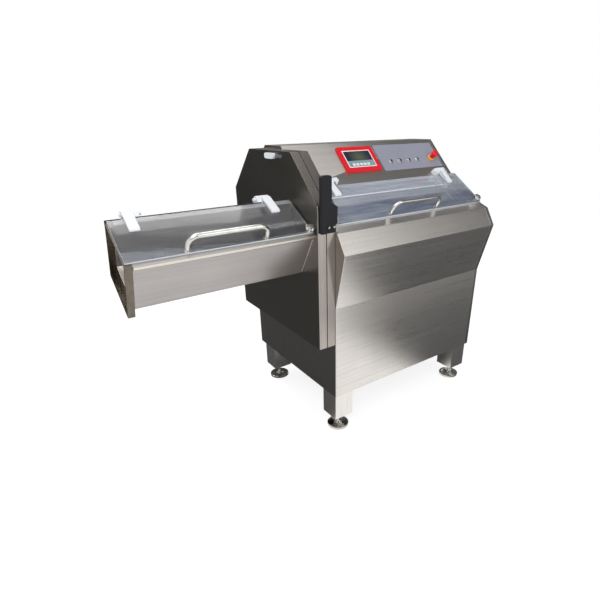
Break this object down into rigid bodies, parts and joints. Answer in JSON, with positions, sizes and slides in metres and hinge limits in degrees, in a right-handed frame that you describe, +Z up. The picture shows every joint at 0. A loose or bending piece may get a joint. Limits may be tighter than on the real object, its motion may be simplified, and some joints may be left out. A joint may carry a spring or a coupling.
{
  "type": "automatic frozen meat slicer",
  "caption": "Floor-standing stainless slicer for frozen meat with a guarded sickle blade, clear lids, a sloped feed and a discharge chute.",
  "frame": {"origin": "on the floor in the middle of the footprint, chute included", "axes": "+X from the discharge chute to the loading end, +Y from the operator's side to the back, +Z up"},
  "size_m": [1.708, 0.7908, 1.27],
  "materials": {
    "brushed_stainless": "brushed",
    "pale_stainless": "fine brushed",
    "polished_stainless": "polished",
    "blade_steel": "ground and polished",
    "white_plastic": "satin",
    "black_plastic": "satin",
    "grey_film": "satin",
    "red_plastic": "gloss",
    "yellow_plastic": "satin",
    "screen": "gloss",
    "key_film": "satin",
    "cast_iron": "machined and as cast",
    "motor_paint": "satin",
    "belt_rubber": "matte",
    "clear_plastic": "clear"
  },
  "bodies": {
    "cabinet": {"base_frame": "brushed_stainless", "foot_front_left": "polished_stainless", "foot_front_right": "polished_stainless", "foot_rear_left": "polished_stainless", "foot_rear_right": "polished_stainless", "front_panel": "brushed_stainless", "left_end_panel": "brushed_stainless", "right_end_cover": "brushed_stainless", "back_cover": "brushed_stainless", "control_hood": "brushed_stainless", "cable_gland": "black_plastic", "fixed_shell": "brushed_stainless", "door_hinge_fixed_leaf": "pale_stainless", "latch_keeper": "black_plastic", "keeper_bracket": "polished_stainless", "feed_trough": "pale_stainless", "guide_frame": "polished_stainless", "feed_motor": "motor_paint", "lid_hinge_lug_left": "white_plastic", "lid_hinge_lug_right": "white_plastic", "display_frame": "red_plastic", "display_keys": "key_film", "display_screen": "screen", "control_plate": "grey_film", "stop_collar": "yellow_plastic", "bearing_housing": "cast_iron", "drive_belt": "belt_rubber", "main_motor": "motor_paint"},
    "door": {"guard_door": "brushed_stainless", "door_hinge_moving_leaf": "pale_stainless", "latch_base": "black_plastic", "door_sensor": "white_plastic", "chute_body": "pale_stainless", "chute_collar": "pale_stainless", "chute_hinge_lug_left": "white_plastic", "chute_hinge_lug_right": "white_plastic"},
    "chute_cover": {"chute_lid": "clear_plastic", "chute_hinge_arm_left": "white_plastic", "chute_hinge_arm_right": "white_plastic", "chute_handle": "polished_stainless"},
    "chute_cover_knob": {"chute_knob": "polished_stainless"},
    "door_latch": {"latch_lever": "black_plastic"},
    "cover": {"main_lid": "clear_plastic", "lid_hinge_arm_left": "white_plastic", "lid_hinge_arm_right": "white_plastic", "lid_handle": "polished_stainless"},
    "cover_knob": {"lid_knob": "polished_stainless"},
    "cutter": {"blade": "blade_steel", "blade_clamp": "polished_stainless", "blade_spindle": "polished_stainless", "blade_pulley": "cast_iron"},
    "motor_wheel": {"motor_pulley": "cast_iron"},
    "pusher": {"pusher_plate": "pale_stainless", "pusher_carriage": "cast_iron"},
    "screw": {"lead_screw": "polished_stainless"},
    "emergency_stop": {"stop_button": "red_plastic"},
    "button_1": {"push_button_1": "polished_stainless"},
    "button_2": {"push_button_2": "polished_stainless"},
    "button_3": {"push_button_3": "polished_stainless"},
    "button_4": {"push_button_4": "polished_stainless"}
  },
  "joints": [
    {"name": "door_swing", "type": "hinge", "parent": "cabinet", "child": "door", "pos_m": [-0.11915, 0.39015, 0.8], "axis": [0, 0, -1], "range_deg": [0, 105]},
    {"name": "chute_lid_hinge", "type": "hinge", "parent": "door", "child": "chute_cover", "pos_m": [-0.498, -0.1088, 1.08744], "axis": [-1, 0, 0], "range_deg": [0, 125]},
    {"name": "chute_knob_turn", "type": "hinge", "parent": "chute_cover", "child": "chute_cover_knob", "pos_m": [-0.183, -0.31196, 0.99138], "axis": [0, -0.4985, 0.8669], "range_deg": [0, 360]},
    {"name": "latch_turn", "type": "hinge", "parent": "door", "child": "door_latch", "pos_m": [-0.148, -0.34385, 1.075], "axis": [0, 0, -1], "range_deg": [0, 55]},
    {"name": "main_lid_hinge", "type": "hinge", "parent": "cabinet", "child": "cover", "pos_m": [0.402, -0.10908, 1.12888], "axis": [-1, 0, 0], "range_deg": [0, 125]},
    {"name": "main_knob_turn", "type": "hinge", "parent": "cover", "child": "cover_knob", "pos_m": [0.828, -0.2969, 1.01037], "axis": [0, -0.5563, 0.831], "range_deg": [0, 360]},
    {"name": "blade_spin", "type": "hinge", "parent": "cabinet", "child": "cutter", "pos_m": [-0.078, 0.02415, 0.8665], "axis": [1, 0, 0], "continuous": true},
    {"name": "motor_spin", "type": "hinge", "parent": "cabinet", "child": "motor_wheel", "pos_m": [0.142, 0.02415, 0.352], "axis": [1, 0, 0], "continuous": true},
    {"name": "pusher_slide", "type": "slide", "parent": "cabinet", "child": "pusher", "axis": [-1, 0, 0], "range_m": [0, 0.756]},
    {"name": "screw_turn", "type": "hinge", "parent": "cabinet", "child": "screw", "pos_m": [0.342, -0.08522, 1.0364], "axis": [1, 0, 0], "range_deg": [0, 13700]},
    {"name": "stop_press", "type": "slide", "parent": "cabinet", "child": "emergency_stop", "axis": [0, 0.7071, -0.7071], "range_m": [0, 0.0035], "stiffness_N_per_m": 1500},
    {"name": "button_1_press", "type": "slide", "parent": "cabinet", "child": "button_1", "axis": [0, 0.7071, -0.7071], "range_m": [0, 0.0018], "stiffness_N_per_m": 600},
    {"name": "button_2_press", "type": "slide", "parent": "cabinet", "child": "button_2", "axis": [0, 0.7071, -0.7071], "range_m": [0, 0.0018], "stiffness_N_per_m": 600},
    {"name": "button_3_press", "type": "slide", "parent": "cabinet", "child": "button_3", "axis": [0, 0.7071, -0.7071], "range_m": [0, 0.0018], "stiffness_N_per_m": 600},
    {"name": "button_4_press", "type": "slide", "parent": "cabinet", "child": "button_4", "axis": [0, 0.7071, -0.7071], "range_m": [0, 0.0018], "stiffness_N_per_m": 600}
  ],
  "couplings": [
    {"joint": "motor_spin", "follows": "blade_spin", "ratio": 1.5},
    {"joint": "screw_turn", "follows": "pusher_slide", "rad_per_m": 314.16}
  ]
}
